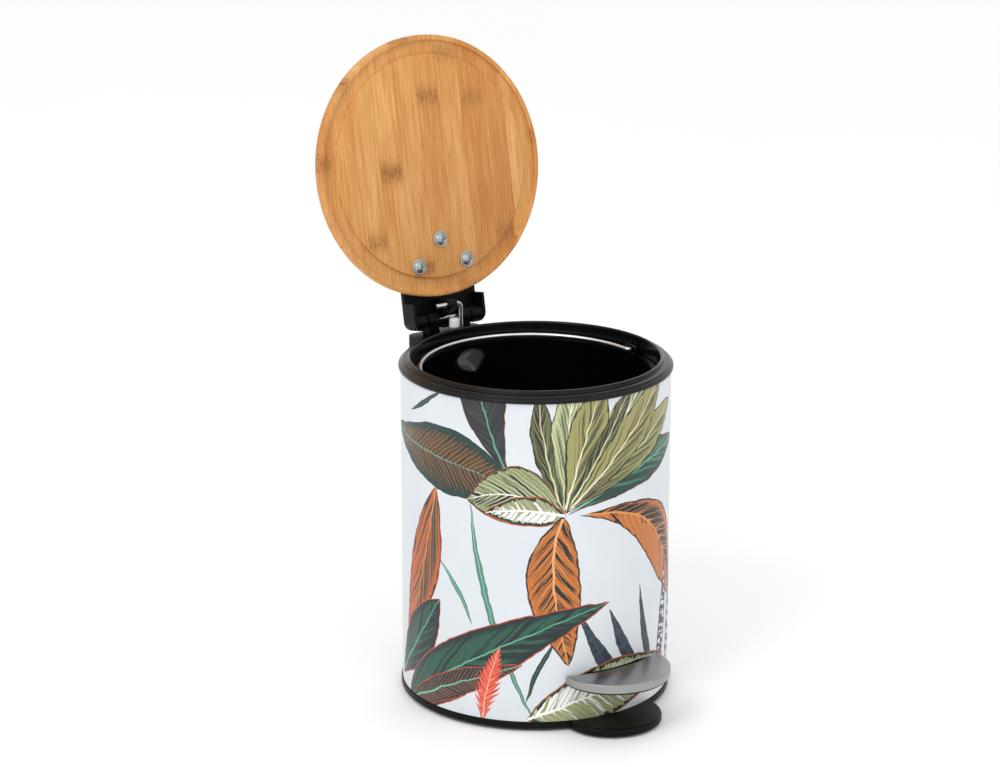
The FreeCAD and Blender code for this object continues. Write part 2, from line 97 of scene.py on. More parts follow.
# ---------------------------------------------------------------- node helpers
def ink(code):
    """A web colour code as linear red, green, blue and alpha."""
    parts = [int(code[i:i + 2], 16) / 255 for i in (1, 3, 5)]
    return tuple(p / 12.92 if p <= 0.04045 else ((p + 0.055) / 1.055) ** 2.4 for p in parts) + (1.0,)


class Wires:
    """Short words for adding and joining shader nodes in one tree."""

    def __init__(self, tree):
        self.tree = tree

    def put(self, socket, value):
        if isinstance(value, bpy.types.NodeSocket):
            self.tree.links.new(value, socket)
        elif value is not None:
            socket.default_value = value

    def node(self, kind, inputs=None, **settings):
        made = self.tree.nodes.new(kind)
        for key, value in settings.items():
            setattr(made, key, value)
        for key, value in (inputs or {}).items():
            self.put(made.inputs[key], value)
        return made

    def math(self, operation, *values, clamp=False):
        made = self.node("ShaderNodeMath", operation=operation, use_clamp=clamp)
        for socket, value in zip(made.inputs, values):
            self.put(socket, value)
        return made.outputs[0]

    def vector(self, operation, *values):
        made = self.node("ShaderNodeVectorMath", operation=operation)
        for socket, value in zip(made.inputs, values):
            self.put(socket, value)
        return made.outputs[0]

    def mix(self, amount, low, high):
        made = self.node("ShaderNodeMix", data_type="RGBA")
        for socket, value in zip((made.inputs[0], made.inputs[6], made.inputs[7]), (amount, low, high)):
            self.put(socket, value)
        return made.outputs[2]

    def blend(self, how, amount, low, high):
        made = self.mix(amount, low, high)
        made.node.blend_type = how
        return made

    def ramp(self, value, low, high, to_low=0.0, to_high=1.0):
        return self.node("ShaderNodeMapRange", {0: value, 1: low, 2: high, 3: to_low, 4: to_high}).outputs[0]

    def split(self, vector):
        return self.node("ShaderNodeSeparateXYZ", {0: vector}).outputs

    def join(self, x=0.0, y=0.0, z=0.0):
        return self.node("ShaderNodeCombineXYZ", {0: x, 1: y, 2: z}).outputs[0]

    def noise(self, vector, scale=1.0, detail=2.0, rough=0.5, size="3D"):
        made = self.node("ShaderNodeTexNoise", {"Vector": vector, "Scale": scale, "Detail": detail,
                                                "Roughness": rough}, noise_dimensions=size)
        return made.outputs[0]

    def noise_1d(self, value, scale=1.0, detail=2.0, rough=0.5):
        made = self.node("ShaderNodeTexNoise", noise_dimensions="1D")
        for key, given in (("W", value), ("Scale", scale), ("Detail", detail), ("Roughness", rough)):
            self.put(made.inputs[key], given)
        return made.outputs[0]

    def dot(self, one, other):
        return self.vector("DOT_PRODUCT", one, other).node.outputs["Value"]

    def mapped(self, vector, scale=(1, 1, 1), turn=(0, 0, 0), shift=(0, 0, 0)):
        return self.node("ShaderNodeMapping", {"Vector": vector, "Location": shift, "Rotation": turn,
                                               "Scale": scale}).outputs[0]

    def place(self):
        """Object coordinates in millimetres."""
        spot = self.node("ShaderNodeTexCoord").outputs["Object"]
        return self.mapped(spot, scale=(1 / MM,) * 3)

    def bump(self, height, strength, depth):
        return self.node("ShaderNodeBump", {"Height": height, "Strength": strength,
                                            "Distance": depth * MM}).outputs[0]


def surface(name, **fixed):
    """A new material with a Principled shader. Constant values go straight on its sockets."""
    made = bpy.data.materials.new(name)
    made.use_nodes = True
    wires = Wires(made.node_tree)
    shader = made.node_tree.nodes["Principled BSDF"]
    for key, value in fixed.items():
        shader.inputs[key.replace("_", " ")].default_value = value
    return made, wires, shader


def shade(tone, share):
    return tuple(c * share for c in tone[:3]) + (1.0,)


def moulded(name, tone, rough, grain=0.06, lift=0.05, shine=0.26):
    """Moulded plastic: uneven sheen, fine grain and faint flow marks."""
    made, w, shader = surface(name, Specular_IOR_Level=shine)
    spot = w.place()
    flow = w.noise(spot, 0.035, 3.0)
    fine = w.noise(spot, 2.6, 2.0, 0.6)
    colour = w.mix(flow, shade(tone, 0.8), shade(tone, 1.25))
    w.put(shader.inputs["Base Color"], colour)
    w.put(shader.inputs["Roughness"], w.ramp(w.math("ADD", w.math("MULTIPLY", flow, 0.6),
                                                    w.math("MULTIPLY", fine, 0.4)),
                                             0.3, 0.7, rough - lift, rough + lift))
    w.put(shader.inputs["Normal"], w.bump(fine, grain, 0.1))
    return made


def metal(name, tone, rough, stretch=(1, 1, 1), depth=0.02):
    """Bare or plated metal with fine marks, drawn out along one axis where stretch says so."""
    made, w, shader = surface(name, Metallic=1.0)
    spot = w.place()
    marks = w.noise(w.mapped(spot, scale=stretch), 2.0, 4.0, 0.65)
    haze = w.noise(spot, 0.06, 2.0)
    w.put(shader.inputs["Base Color"], w.mix(marks, shade(tone, 0.86), tone))
    w.put(shader.inputs["Roughness"], w.ramp(w.math("ADD", w.math("MULTIPLY", marks, 0.6),
                                                    w.math("MULTIPLY", haze, 0.4)),
                                             0.25, 0.75, rough * 0.7, rough * 1.35))
    w.put(shader.inputs["Normal"], w.bump(marks, 0.35, depth))
    return made


# ---------------------------------------------------------------- bamboo
def bamboo(colours):
    """Glued strips that run from the hinge to the tip, each with its own tone, fibres and joints."""
    made, w, shader = surface("bamboo", Specular_IOR_Level=0.35, Coat_Weight=0.06, Coat_Roughness=0.35)
    flat = SWING.inverted()
    spot = w.mapped(w.place(), turn=(-OPEN_ANGLE, 0, 0), shift=tuple(flat.to_translation() / MM))
    sway = w.math("SUBTRACT", w.noise(w.mapped(spot, scale=(0.02, 0.008, 0.02))), 0.5)
    sway = w.math("MULTIPLY", sway, 1.2)
    x, y, z = w.split(spot)
    across = w.math("DIVIDE", w.math("ADD", w.math("ADD", x, sway), 6.0), STRIP)
    strip = w.math("FLOOR", across)
    inside = w.math("FRACT", across)
    luck, joint_luck = [w.node("ShaderNodeTexWhiteNoise", {"W": seed}, noise_dimensions="1D").outputs[0]
                        for seed in (strip, w.math("ADD", strip, 31.7))]
    start = w.math("MULTIPLY", luck, 1000.0)

    fibre = w.noise(w.join(w.math("MULTIPLY", x, 1.9), w.math("ADD", w.math("MULTIPLY", y, 0.035), start),
                           w.math("MULTIPLY", z, 1.2)), 1.0, 3.0, 0.6)
    fleck = w.noise(w.join(w.math("MULTIPLY", x, 5.0), w.math("ADD", w.math("MULTIPLY", y, 0.12), start),
                           w.math("MULTIPLY", z, 3.0)), 1.0, 2.0, 0.5)
    cloud = w.noise(w.join(w.math("MULTIPLY", x, 0.12), w.math("MULTIPLY", y, 0.02), start), 1.0, 2.0)

    base = w.mix(luck, colours.bamboo_pale, colours.bamboo_deep)
    base = w.blend("MULTIPLY", 1.0, base, w.mix(w.ramp(fibre, 0.35, 0.7), ink("#FFFFFF"), ink("#E4C49C")))
    base = w.blend("MULTIPLY", 1.0, base, w.mix(w.ramp(cloud, 0.3, 0.7), ink("#FFFDF8"), ink("#EFDCC4")))
    base = w.mix(w.math("MULTIPLY", w.ramp(fleck, 0.58, 0.70), 0.5), base, ink("#A5713B"))

    along = w.math("FRACT", w.math("DIVIDE", w.math("ADD", y, w.math("MULTIPLY", luck, 977.0)), NODE_GAP))
    arc = w.math("MULTIPLY", w.math("POWER", w.math("ABSOLUTE", w.math("SUBTRACT", inside, 0.5)), 2.0), 0.02)
    joint = w.math("ABSOLUTE", w.math("SUBTRACT", w.math("ADD", along, arc), 0.5))
    blotch = w.noise(w.join(w.math("MULTIPLY", x, 1.3), w.math("MULTIPLY_ADD", y, 0.30, start)),
                     1.0, 4.0, 0.65)
    side = w.ramp(w.math("MINIMUM", inside, w.math("SUBTRACT", 1.0, inside)), 0.0, 0.12, 0.3, 1.0)
    strength = w.math("MULTIPLY", w.ramp(joint_luck, 0.0, 1.0, 0.35, 1.0), side)
    halo = w.math("MULTIPLY", w.ramp(joint, 0.0, 0.075, 1.0, 0.0), strength)
    halo = w.math("MULTIPLY", halo, w.ramp(fibre, 0.3, 0.6, 0.4, 0.9))
    base = w.mix(halo, base, ink("#A9692F"))
    ring = w.math("MULTIPLY", w.ramp(joint, 0.012, 0.045, 1.0, 0.0), w.ramp(blotch, 0.45, 0.60))
    base = w.mix(w.math("MULTIPLY", w.math("MULTIPLY", ring, 0.95), strength), base, ink("#7E4A20"))

    seam = w.math("MINIMUM", inside, w.math("SUBTRACT", 1.0, inside))
    line = w.ramp(seam, 0.0, 0.022, 1.0, 0.0)
    base = w.mix(w.math("MULTIPLY", line, 0.32), base, ink("#8A5828"))
    w.put(shader.inputs["Base Color"], base)
    w.put(shader.inputs["Roughness"], w.ramp(w.math("ADD", fibre, w.math("MULTIPLY", cloud, 0.5)),
                                             0.4, 1.0, 0.42, 0.62))
    height = w.math("SUBTRACT", w.math("MULTIPLY", fibre, 0.35), w.math("MULTIPLY", line, 0.8))
    w.put(shader.inputs["Normal"], w.bump(height, 0.35, 0.12))
    return made


# ---------------------------------------------------------------- leaf print
INK_SOCKETS = ("Fill", "Streak", "Vein", "Rib", "Margin", "Outline")
MEASURE_SOCKETS = ("Pitch", "Slant", "Vein Width", "Streaks", "Shade", "Rib Width", "Margin Width",
                   "Outline Width")
LEAF_SOCKETS = [
    ("Color", ("Under", *INK_SOCKETS)), ("Vector", ("Spot", "Base", "Along", "Across")),
    ("Float", ("Length", "Half Width", "Bend", "Curl", "Belly", "Teeth", *MEASURE_SOCKETS)),
]
ROUNDNESS = 0.8                             # below 1 fills out a leaf's tip and base


def leaf_group():
    """One printed leaf: its outline round a curved midrib, then streaks, veins, margin and outline."""
    tree = bpy.data.node_groups.new("printed_leaf", "ShaderNodeTree")
    for kind, names in LEAF_SOCKETS:
        for name in names:
            tree.interface.new_socket(name, in_out="INPUT", socket_type=f"NodeSocket{kind}")
    tree.interface.new_socket("Colour", in_out="OUTPUT", socket_type="NodeSocketColor")
    w = Wires(tree)
    given = tree.nodes.new("NodeGroupInput").outputs
    # A millionth of the colour below is added, so that each leaf is worked out after the one under it.
    spot = w.vector("MULTIPLY_ADD", given["Under"], (1e-6, 1e-6, 0.0), given["Spot"])
    from_base = w.vector("SUBTRACT", spot, given["Base"])
    x, y = w.dot(from_base, given["Along"]), w.dot(from_base, given["Across"])
    s = w.math("DIVIDE", x, given["Length"], clamp=True)
    lean = w.math("MULTIPLY_ADD", given["Curl"], w.math("MULTIPLY_ADD", s, 2.0, -1.0), given["Bend"])
    bow = w.math("MULTIPLY", w.math("SUBTRACT", s, w.math("MULTIPLY", s, s)), 4.0)
    middle = w.math("MULTIPLY", bow, lean)
    off = w.math("SUBTRACT", y, middle)
    away = w.math("ABSOLUTE", off)
    share = w.math("SINE", w.math("MULTIPLY", w.math("POWER", s, given["Belly"]), math.pi))
    share = w.math("POWER", w.math("MAXIMUM", share, 0.0), ROUNDNESS)
    back = w.math("MULTIPLY_ADD", away, w.math("MULTIPLY", given["Slant"], -1.0), x)
    teeth = w.math("MULTIPLY", w.math("PINGPONG", back, 2.0), given["Teeth"])
    wide = w.math("MULTIPLY", w.math("SUBTRACT", given["Half Width"], teeth), share)
    edge = w.math("SUBTRACT", wide, away)

    cell = w.math("ADD", w.math("DIVIDE", back, given["Pitch"]),
                  w.math("MULTIPLY_ADD", given["Length"], 3.1, w.math("MULTIPLY", w.math("SIGN", off), 71.3)))
    patch = w.noise_1d(w.math("MULTIPLY_ADD", away, 0.05, cell), 1.3, 2.0, 0.4)
    shaded = w.math("MULTIPLY_ADD", given["Shade"], w.ramp(off, -4.0, 4.0, -1.0, 1.0), patch)
    reach = w.math("DIVIDE", away, w.math("MAXIMUM", wide, 0.5))
    hand = w.math("MULTIPLY", w.math("SIGN", off), 9.7)
    feather = w.noise_1d(w.math("MULTIPLY_ADD", back, 1.7, hand), 1.0, 2.0, 0.6)
    limit = w.math("MULTIPLY_ADD", feather, 0.9, w.ramp(s, 0.0, 1.0, 0.45, 0.1))
    streak = w.math("MULTIPLY", w.ramp(shaded, 0.49, 0.52), w.math("LESS_THAN", reach, limit))
    streak = w.math("MULTIPLY", streak, given["Streaks"])
    vein = w.math("LESS_THAN", w.math("PINGPONG", back, w.math("MULTIPLY", given["Pitch"], 0.5)),
                  w.math("MULTIPLY", given["Vein Width"], w.ramp(away, 0.0, 18.0, 0.8, 0.25)))
    rib = w.math("LESS_THAN", away, w.math("MULTIPLY", given["Rib Width"], w.ramp(s, 0.0, 1.0, 1.0, 0.3)))
    colour = w.mix(streak, given["Fill"], given["Streak"])
    colour = w.mix(vein, colour, given["Vein"])
    margin = w.math("MULTIPLY", given["Margin Width"], w.ramp(patch, 0.3, 0.7, 0.5, 1.5))
    colour = w.mix(w.math("LESS_THAN", edge, margin), colour, given["Margin"])
    colour = w.mix(rib, colour, given["Rib"])
    colour = w.mix(w.math("LESS_THAN", edge, given["Outline Width"]), colour, given["Outline"])
    colour = w.mix(w.math("MULTIPLY", edge, 6.0, clamp=True), given["Under"], colour)
    out = tree.nodes.new("NodeGroupOutput")
    w.put(out.inputs[0], colour)
    return tree


# Each look: fill, streak, vein, rib, margin and outline inks, then pitch, slant, vein width, streaks,
# shade, rib width, margin width and outline width.
LOOKS = {
    "calathea": ("#2B3630 #5A4630 #B0703F #5E9C8A #22403A #18211E",
        3.4, 0.9, 0.42, 1, 0.04, 0.6, 4.2, 0.5),
    "charcoal": ("#2E3033 #3C4043 #1E2022 #5E9C84 #703D30 #8E4334",
        7.0, 1.6, 0.4, 1, 0, 0.8, 0.5, 0.35),
    "olive": ("#A3A67C #F1F2EE #59633F #F6F6F2 #2C3A2E #C4632F",
        4.2, 0.9, 0.34, 1, 0.10, 0.9, 2.4, 0.7),
    "dusk_olive": ("#8C9464 #26322A #E6E8DA #ECEBD8 #26322A #A8542E",
        5.0, 1.9, 0.5, 1, 0.10, 0.8, 1.6, 0.6),
    "fan_olive": ("#98985F #4C5A40 #D58A60 #E4E2C4 #2F3A2C #33291C",
        10.0, 4.2, 0.5, 1, -0.08, 0.7, 1.0, 0.4),
    "fan_cream": ("#B9BB8C #66704A #F1EFDF #E9E7CE #4E5A3C #40341F",
        9.0, 4.0, 0.6, 1, 0.06, 0.7, 0.8, 0.4),
    "fan_brown": ("#5E6B48 #20302A #CF8659 #CBD0A6 #22302A #22201A",
        10.0, 4.2, 0.5, 1, 0.06, 0.7, 1.0, 0.4),
    "fan_teal": ("#25403A #3E7F68 #182624 #7FB8A0 #1C2727 #A04F34",
        10.0, 3.6, 0.4, 1, 0.04, 0.7, 0.8, 0.5),
    "orange": ("#BF6F31 #2E2620 #E09A58 #E8A870 #44291B #2B1E18",
        6.5, 1.5, 0.42, 1, 0.0, 0.9, 1.2, 0.6),
    "orange_dusk": ("#BF6F31 #261E1A #E09A58 #D98F50 #44291B #2B1E18",
        6.5, 1.5, 0.42, 1, 0.2, 0.8, 1.2, 0.6),
    "striped": ("#C4622F #2A4A3C #8E3F26 #D98A58 #223A32 #A93F29",
        12.0, 5.0, 0.3, 1, 0.05, 0.6, 1.4, 0.7),
    "dark": ("#212D2F #2C5A4A #172224 #5FA88C #1E2929 #B94E34",
        11.0, 3.2, 0.42, 1, 0.05, 0.8, 0.9, 0.8),
    "rust_dark": ("#262E2E #55423A #9A6450 #74BA9E #1E2929 #B94E34",
        3.6, 1.4, 0.4, 1, -0.1, 0.7, 0.9, 0.7),
    "plume": ("#DE5540 #EE8468 #BF3B2A #F6B9A2 #CE4936 #A83424",
        3.2, 1.2, 0.5, 1, 0, 0.5, 0.4, 0.25),
    "slate": ("#33404E #2A3440 #46566A #46566A #2A2F3A #242A34",
        11.0, 0.3, 0.4, 1, 0, 0.3, 0.5, 0.3),
    "banded": ("#35404C #E3E8EE #262B34 #35404C #2A2F3A #242A34",
        7.0, 0.2, 0.5, 1, -0.02, 0.4, 1.0, 0.3),
    "stem": ("#4F8C77 #4F8C77 #4F8C77 #86C0A8 #24423A #18251F",
        9.0, 0.5, 0.0, 0, 0, 0.4, 0.0, 0.4),
    "stem_dark": ("#24382F #24382F #24382F #44705E #1A2825 #1A2825",
        9.0, 0.5, 0.0, 0, 0, 0.3, 0.0, 0.3),
}
# Each leaf: look, base and tip (distance round the sleeve from the front, height), half width, bend,
# curl, belly (share of the length where it is widest) and depth of its teeth.
LEAVES = [
    ("stem", (-94, 146), (-50, 2), 2.2, -8, 0, 0.45, 0),
    ("stem", (-118, 104), (-92, 66), 1.6, 3, 0, 0.5, 0),
    ("stem_dark", (-114, 214), (-149, 192), 1.7, 2, 0, 0.5, 0),
    ("stem_dark", (-38, 60), (-58, 18), 1.8, -3, 0, 0.5, 0),
    ("stem", (-188, 140), (-206, 4), 2.0, 6, 0, 0.5, 0),
    ("stem", (120, 120), (96, 2), 2.0, -6, 0, 0.5, 0),
    ("stem_dark", (206, 150), (190, 4), 2.0, 5, 0, 0.5, 0),
    ("charcoal", (-67, 160), (-90, 244), 15, 5, 0, 0.66, 0),
    ("calathea", (-180, 176), (-65, 156), 21, 4, 3, 0.6, 0),
    ("striped", (-120, 150), (-156, 44), 15, 5, 3, 0.5, 0),
    ("dark", (-170, 12), (-118, 78), 15, -3, 0, 0.55, 0),
    ("fan_brown", (-35, 140), (-51, 216), 8, 3, 0, 0.6, 0),
    ("fan_cream", (-35, 140), (-31, 222), 11, 0, 0, 0.62, 0),
    ("fan_cream", (-35, 140), (24, 222), 12, 0, 0, 0.62, 0),
    ("fan_teal", (-34, 139), (66, 170), 12, 6, 0, 0.62, 0),
    ("fan_olive", (-35, 140), (-10, 222), 12, 1, 0, 0.62, 0),
    ("fan_brown", (-35, 140), (10, 216), 6, -1, 0, 0.62, 0),
    ("fan_olive", (-35, 140), (60, 196), 12, 3, 0, 0.62, 0),
    ("fan_olive", (-35, 140), (43, 218), 12, -1, 0, 0.62, 0),
    ("dusk_olive", (-35, 140), (-96, 147), 19, -9, 0, 0.5, 0),
    ("olive", (-34, 139), (-84, 140), 10, -3, 0, 0.45, 0),
    ("orange_dusk", (-27, 138), (68, 64), 18, 23, -5, 0.62, 0),
    ("orange", (-36, 138), (-32, 42), 17, -7, 3, 0.44, 0),
    ("slate", (1, 30), (-25, 76), 5.2, 2, 0, 0.24, 0),
    ("slate", (18, 30), (-4, 76), 5.2, 2, 0, 0.24, 0),
    ("slate", (32, 28), (20, 87), 3.6, 1, 0, 0.24, 0),
    ("banded", (44, 24), (54, 96), 5.5, -2, 0, 0.34, 0),
    ("banded", (60, 24), (74, 92), 6, -2, 0, 0.34, 0),
    ("dark", (-152, 3), (-4, 80), 18, 9, 3, 0.34, 0),
    ("rust_dark", (-150, 2), (-60, 44), 9, 2, 0, 0.45, 0),
    ("plume", (-86, 4), (-74, 54), 8.5, 2, 0, 0.5, 2.2),
    ("olive", (-57, 8), (54, 30), 18, 5, 0, 0.45, 0),
    ("fan_olive", (92, 100), (78, 214), 15, -4, 0, 0.55, 0),
    ("dusk_olive", (92, 100), (138, 196), 17, 6, 0, 0.5, 0),
    ("orange", (92, 98), (150, 66), 15, 10, 0, 0.55, 0),
    ("striped", (88, 96), (104, 18), 14, 5, 0, 0.5, 0),
    ("calathea", (236, 190), (142, 152), 20, -4, 0, 0.55, 0),
    ("charcoal", (176, 158), (168, 226), 14, 3, 0, 0.6, 0),
    ("fan_teal", (204, 120), (256, 176), 15, 5, 0, 0.5, 0),
    ("orange", (204, 118), (180, 34), 16, -6, 0, 0.5, 0),
    ("dark", (252, 20), (128, 70), 15, -8, 0, 0.4, 0),
    ("plume", (224, 4), (230, 62), 8.5, 2, 0, 0.5, 2.2),
    ("olive", (120, 6), (206, 26), 16, 5, 0, 0.45, 0),
    ("dusk_olive", (-200, 138), (-258, 190), 16, 5, 0, 0.5, 0),
    ("fan_brown", (-200, 138), (-214, 222), 13, 3, 0, 0.55, 0),
    ("orange", (-200, 136), (-250, 82), 16, -8, 0, 0.5, 0),
    ("striped", (-204, 88), (-186, 26), 12, 4, 0, 0.5, 0),
    ("dark", (-216, 8), (-256, 62), 12, -3, 0, 0.5, 0),
]


def print_ink(colours):
    """Leaves printed over a pale ground, drawn in millimetres from the sleeve's own map."""
    made, w, shader = surface("leaf_print", Specular_IOR_Level=0.4)
    chart = w.node("ShaderNodeUVMap", uv_map=PRINT_MAP).outputs[0]
    round_mm = 2 * math.pi * BODY_R
    spot = w.mapped(chart, scale=(round_mm, SLEEVE_TOP - SLEEVE_LOW, 1), shift=(-round_mm / 2, SLEEVE_LOW, 0))
    colour = w.mix(w.noise(spot, 0.03, 3.0), colours.print_ground, ink("#CFD5DB"))
    shake = w.node("ShaderNodeTexNoise", {"Vector": spot, "Scale": 0.09, "Detail": 2.0}).outputs["Color"]
    shake = w.vector("MULTIPLY", w.vector("SUBTRACT", shake, (0.5, 0.5, 0.5)), (3.2, 3.2, 0.0))
    spot = w.vector("ADD", spot, shake)
    group = leaf_group()
    for look, base, tip, half, bend, curl, belly, teeth in LEAVES:
        reach = Vector(tip) - Vector(base)
        style = LOOKS[look]
        values = dict(zip(INK_SOCKETS, map(ink, style[0].split())))
        values.update(zip(MEASURE_SOCKETS, map(float, style[1:])))
        along = reach.normalized()
        values.update({"Under": colour, "Spot": spot, "Base": (*base, 0.0), "Along": (*along, 0.0),
                       "Across": (-along.y, along.x, 0.0), "Length": reach.length,
                       "Half Width": float(half), "Bend": float(bend), "Curl": float(curl),
                       "Belly": math.log(0.5) / math.log(belly), "Teeth": float(teeth)})
        stamp = w.tree.nodes.new("ShaderNodeGroup")
        stamp.node_tree = group
        for key, value in values.items():
            w.put(stamp.inputs[key], value)
        colour = stamp.outputs[0]
    w.put(shader.inputs["Base Color"], colour)
    fine = w.noise(spot, 0.9, 3.0, 0.6)
    w.put(shader.inputs["Roughness"], w.ramp(fine, 0.3, 0.7, 0.30, 0.42))
    w.put(shader.inputs["Normal"], w.bump(fine, 0.06, 0.03))
    return made


# ---------------------------------------------------------------- mesh helpers
def finished(name, bm, material, body, node, smooth=35.0):
    """Turns a bmesh into a piece that rides on a body and stands for a CAD node."""
    mesh = bpy.data.meshes.new(name)
    bm.to_mesh(mesh)
    bm.free()
    mesh.materials.append(material)
    mesh.shade_smooth()
    mesh.set_sharp_from_angle(angle=math.radians(smooth))
    piece = bpy.data.objects.new(name, mesh)
    bpy.context.scene.collection.objects.link(piece)
    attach(piece, body)
    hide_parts(node)
    return piece


def turned(bm, profile, steps=48, middle=(0, 0)):
    """Spins an outline of (radius, height) points round an upright axis into a closed form.

    An outline with both ends on the axis makes a solid, and any other is closed into a ring first.
    """
    points = [bm.verts.new(Vector((middle[0] + r, middle[1], z)) * MM) for r, z in profile]
    chain = [bm.edges.new(pair) for pair in zip(points, points[1:])]
    if profile[0][0] or profile[-1][0]:
        chain.append(bm.edges.new((points[-1], points[0])))
    bmesh.ops.spin(bm, geom=points + chain, cent=Vector((*middle, 0)) * MM, axis=(0, 0, 1),
                   dvec=(0, 0, 0), angle=2 * math.pi, steps=steps, use_merge=True)
    bmesh.ops.remove_doubles(bm, verts=bm.verts, dist=WELD)
    bmesh.ops.recalc_face_normals(bm, faces=bm.faces)


def soften(bm, width, angle=30.0, segments=3):
    """Rounds every edge that turns by more than an angle."""
    edges = [e for e in bm.edges if len(e.link_faces) == 2 and e.calc_face_angle() > math.radians(angle)]
    bmesh.ops.bevel(bm, geom=edges, offset=width * MM, segments=segments, clamp_overlap=True, **BEVEL)


def bent(points, bend, steps=10):
    """Places along straight runs whose corners are rounded to one radius."""
    places = [Vector(points[0])]
    for before, corner, after in zip(points, points[1:], points[2:]):
        corner = Vector(corner)
        go, leave = (Vector(before) - corner).normalized(), (Vector(after) - corner).normalized()
        half = go.angle(leave) / 2
        centre = corner + (go + leave).normalized() * (bend / math.sin(half))
        first, last = corner + go * (bend / math.tan(half)), corner + leave * (bend / math.tan(half))
        places += [centre + (first - centre).slerp(last - centre, i / steps).normalized() * bend
                   for i in range(steps + 1)]
    return places + [Vector(points[-1])]


def swept(places, radius, sides=24, round_end=0.25):
    """Sweeps a round section along places without twist and closes both ends."""
    places = [place * MM for place in places]
    runs = [(b - a).normalized() for a, b in zip(places, places[1:])]
    facings = [runs[0], *[(a + b).normalized() for a, b in zip(runs, runs[1:])], runs[-1]]
    bm = bmesh.new()
    turn = Vector((0, 0, 1)).rotation_difference(facings[0]).to_matrix().to_4x4()
    bmesh.ops.create_circle(bm, cap_ends=True, radius=radius * MM, segments=sides,
                            matrix=Matrix.Translation(places[0]) @ turn)
    rim = [e for e in bm.edges if e.is_boundary]
    for before, place, old, new in zip(places, places[1:], facings, facings[1:]):
        made = bmesh.ops.extrude_edge_only(bm, edges=rim)["geom"]
        rim = [g for g in made if isinstance(g, bmesh.types.BMEdge) and g.is_boundary]
        verts = [g for g in made if isinstance(g, bmesh.types.BMVert)]
        bmesh.ops.rotate(bm, verts=verts, cent=before, matrix=old.rotation_difference(new).to_matrix())
        bmesh.ops.translate(bm, verts=verts, vec=place - before)
    bmesh.ops.edgeloop_fill(bm, edges=rim)
    bmesh.ops.recalc_face_normals(bm, faces=bm.faces)
    ends = [e for f in bm.faces if len(f.verts) == sides for e in f.edges]
    bmesh.ops.bevel(bm, geom=ends, offset=round_end * MM, segments=2, clamp_overlap=True, **BEVEL)
    return bm


def swing_open(bm):
    """Turns a piece drawn on the shut lid to the lid's open place."""
    bmesh.ops.transform(bm, matrix=SWING, verts=bm.verts)


def join(bm, other):
    """Adds another bmesh to this one and frees it."""
    mesh = bpy.data.meshes.new("part")
    other.to_mesh(mesh)
    other.free()
    bm.from_mesh(mesh)
    bpy.data.meshes.remove(mesh)


def smooth_step(value):
    """Eases from 0 to 1."""
    value = min(max(value, 0.0), 1.0)
    return value * value * (3 - 2 * value)


def middle_of(face):
    """A face's centre in millimetres."""
    return face.calc_center_median() / MM


def cross_recess(bm, crown):
    """Sinks a cross into the middle of a dome that points down."""
    for edge in (-CROSS_HALF, CROSS_HALF):
        cut_line(bm, list(bm.faces), (edge, 0, 0), (1, 0, 0))
    for edge in (-CROSS_HALF, CROSS_HALF):
        cut_line(bm, list(bm.faces), (0, edge, 0), (0, 1, 0))
    inside = []
    for face in bm.faces:
        x, y, z = middle_of(face)
        near, far = sorted((abs(x), abs(y)))
        if near < CROSS_HALF and far < CROSS_REACH and z < crown + HEAD_H / 2 + 0.05:
            inside.append(face)
    made = bmesh.ops.extrude_face_region(bm, geom=inside)
    bmesh.ops.delete(bm, geom=inside, context="FACES")
    verts = [g for g in made["geom"] if isinstance(g, bmesh.types.BMVert)]
    bmesh.ops.translate(bm, verts=verts, vec=(0, 0, CROSS_DEEP * MM))


def bail_lug(hand):
    """One of the two rounded ears that hold the bail, on the +X side where hand is 1."""
    inner, outer, half, low, high = 73.3, 76.2, 5.5, BUCKET_TOP - 1.0, BUCKET_TOP + 5.2
    bm = bmesh.new()
    bmesh.ops.create_cube(bm, size=1.0)
    bmesh.ops.scale(bm, verts=bm.verts, vec=Vector((outer - inner, 2 * half, high - low)) * MM)
    bmesh.ops.translate(bm, verts=bm.verts,
                        vec=Vector((hand * (inner + outer) / 2, 0, (low + high) / 2)) * MM)
    corners_up = [e for e in bm.edges if all(v.co.z > (high - 0.1) * MM for v in e.verts)
                  and abs(e.verts[0].co.y - e.verts[1].co.y) < 1e-6]
    bmesh.ops.bevel(bm, geom=corners_up, offset=2.4 * MM, segments=6, **BEVEL)
    soften(bm, 0.35, 50, 2)
    bmesh.ops.recalc_face_normals(bm, faces=bm.faces)
    return bm


def tube(bm, radius, low, high, rows, steps=256):
    """An open upright tube with evenly spaced rows."""
    ring = bmesh.ops.create_circle(bm, radius=radius * MM, segments=steps,
                                   matrix=Matrix.Translation((0, 0, low * MM)))
    edges = list(dict.fromkeys(e for v in ring["verts"] for e in v.link_edges))
    for _ in range(rows):
        made = bmesh.ops.extrude_edge_only(bm, edges=edges)
        verts = [g for g in made["geom"] if isinstance(g, bmesh.types.BMVert)]
        edges = [g for g in made["geom"] if isinstance(g, bmesh.types.BMEdge)]
        bmesh.ops.translate(bm, verts=verts, vec=(0, 0, (high - low) * MM / rows))


def cut_line(bm, faces, point, normal):
    """Adds an edge loop where a plane crosses the faces."""
    edges = dict.fromkeys(e for f in faces for e in f.edges)
    parts = [*faces, *edges, *dict.fromkeys(v for f in faces for v in f.verts)]
    bmesh.ops.bisect_plane(bm, geom=parts, dist=WELD, plane_co=Vector(point) * MM, plane_no=normal)


